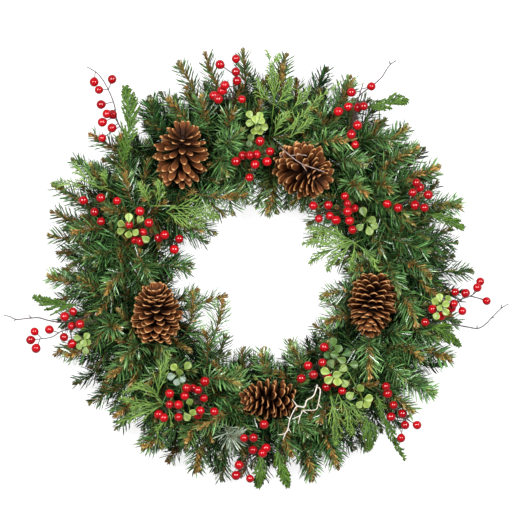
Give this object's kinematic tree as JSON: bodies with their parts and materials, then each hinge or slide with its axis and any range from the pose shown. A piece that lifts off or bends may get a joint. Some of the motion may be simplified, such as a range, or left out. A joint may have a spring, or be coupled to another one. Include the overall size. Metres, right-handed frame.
{
  "type": "christmas wreath",
  "caption": "Round evergreen Christmas wreath on a flat wire ring, dressed with pine cones, red berry picks, boxwood sprigs, cedar and juniper fronds and bare twigs round an open hole",
  "frame": {"origin": "centre of the bounding box on the plane that the wire ring rests on", "axes": "+Z out of the face towards the viewer, +X to the right of the face, +Y to its top"},
  "size_m": [0.7182, 0.6244, 0.1388],
  "materials": {
    "wire": "dark green painted wire",
    "foliage": "dark green needles with olive and brown tips",
    "cone": "dry brown scales with pale rims",
    "berry": "glossy red lacquer",
    "boxwood": "pale green leaves with a soft sheen",
    "cedar": "bright green scaly fronds",
    "juniper": "light green fine fronds",
    "twig": "dark dry bark",
    "white_twig": "whitewashed twig"
  },
  "bodies": {
    "root": {"berry_pick_bottom": "berry", "berry_pick_centre_left": "berry", "berry_pick_centre_right": "berry", "berry_pick_far_right": "berry", "berry_pick_left": "berry", "berry_pick_lower_centre": "berry", "berry_pick_lower_left": "berry", "berry_pick_lower_right": "berry", "berry_pick_right": "berry", "berry_pick_top": "berry", "berry_pick_top_right": "berry", "berry_pick_upper_centre": "berry", "berry_pick_upper_left": "berry", "berry_pick_upper_side": "berry", "boxwood_sprig_left": "boxwood", "boxwood_sprig_lower_left": "boxwood", "boxwood_sprig_lower_right": "boxwood", "boxwood_sprig_lower_side": "boxwood", "boxwood_sprig_right": "boxwood", "boxwood_sprig_top": "boxwood", "boxwood_sprig_upper_right": "boxwood", "cedar_frond_bottom": "cedar", "cedar_frond_bottom_right": "cedar", "cedar_frond_left": "cedar", "cedar_frond_lower_right": "cedar", "cedar_frond_lower_side": "cedar", "cedar_frond_right": "cedar", "cedar_frond_top_right": "cedar", "cedar_frond_upper_left": "cedar", "cedar_strand_lower_right": "cedar", "foliage_bundle_01": "foliage", "foliage_bundle_02": "foliage", "foliage_bundle_03": "foliage", "foliage_bundle_04": "foliage", "foliage_bundle_05": "foliage", "foliage_bundle_06": "foliage", "foliage_bundle_07": "foliage", "foliage_bundle_08": "foliage", "foliage_bundle_09": "foliage", "foliage_bundle_10": "foliage", "foliage_bundle_11": "foliage", "foliage_bundle_12": "foliage", "juniper_frond_centre_left": "juniper", "juniper_frond_centre_right": "juniper", "juniper_frond_lower_left": "juniper", "juniper_frond_lower_right": "juniper", "juniper_frond_top": "juniper", "juniper_frond_upper_right": "juniper", "juniper_frond_upper_side": "juniper", "pine_cone_bottom": "cone", "pine_cone_left": "cone", "pine_cone_right": "cone", "pine_cone_upper_left": "cone", "pine_cone_upper_right": "cone", "ring_frame": "wire", "twig_grey": "twig", "twig_left": "twig", "twig_right": "twig", "twig_white": "white_twig"}
  },
  "joints": []
}
